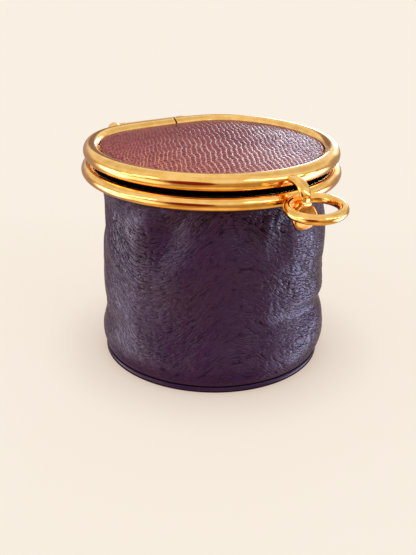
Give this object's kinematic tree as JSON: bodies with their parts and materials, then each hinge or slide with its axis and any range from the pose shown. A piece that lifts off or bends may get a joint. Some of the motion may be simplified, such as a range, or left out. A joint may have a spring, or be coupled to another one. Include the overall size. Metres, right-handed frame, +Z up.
{
  "type": "expandable coin purse",
  "caption": "Soft round leather coin purse in a gilt ring frame, with a hinged leather lid, a clasp hook with a thumb tab and a wire pull ring.",
  "frame": {"origin": "on the flat underside of the base, on the axis of the frame rings", "axes": "+Z up the purse's axis, +Y towards the hinge, -Y towards the clasp"},
  "size_m": [0.0672, 0.0815, 0.0577],
  "materials": {
    "rim_gilt": "polished, lightly worn",
    "pin_gilt": "polished",
    "body_leather": "soft wrinkled aubergine leather with a sheen",
    "base_leather": "smooth aubergine leather",
    "lid_gilt": "polished, lightly worn",
    "lid_leather": "burgundy leather with a scale grain",
    "pull_gilt": "polished"
  },
  "bodies": {
    "purse": {"rim_ring": "rim_gilt", "hinge_pin": "pin_gilt", "body_wall": "body_leather", "base_panel": "base_leather"},
    "lid": {"lid_ring": "lid_gilt", "lid_panel": "lid_leather"},
    "pull": {"pull_ring": "pull_gilt"}
  },
  "joints": [
    {"name": "lid_hinge", "type": "hinge", "parent": "purse", "child": "lid", "pos_m": [0, 0.0309, 0.0557], "axis": [-1, 0, 0], "range_deg": [0, 110]},
    {"name": "ring_swing", "type": "hinge", "parent": "lid", "child": "pull", "pos_m": [0, -0.0354, 0.0515], "axis": [-1, 0, 0], "range_deg": [-85, 95]}
  ]
}
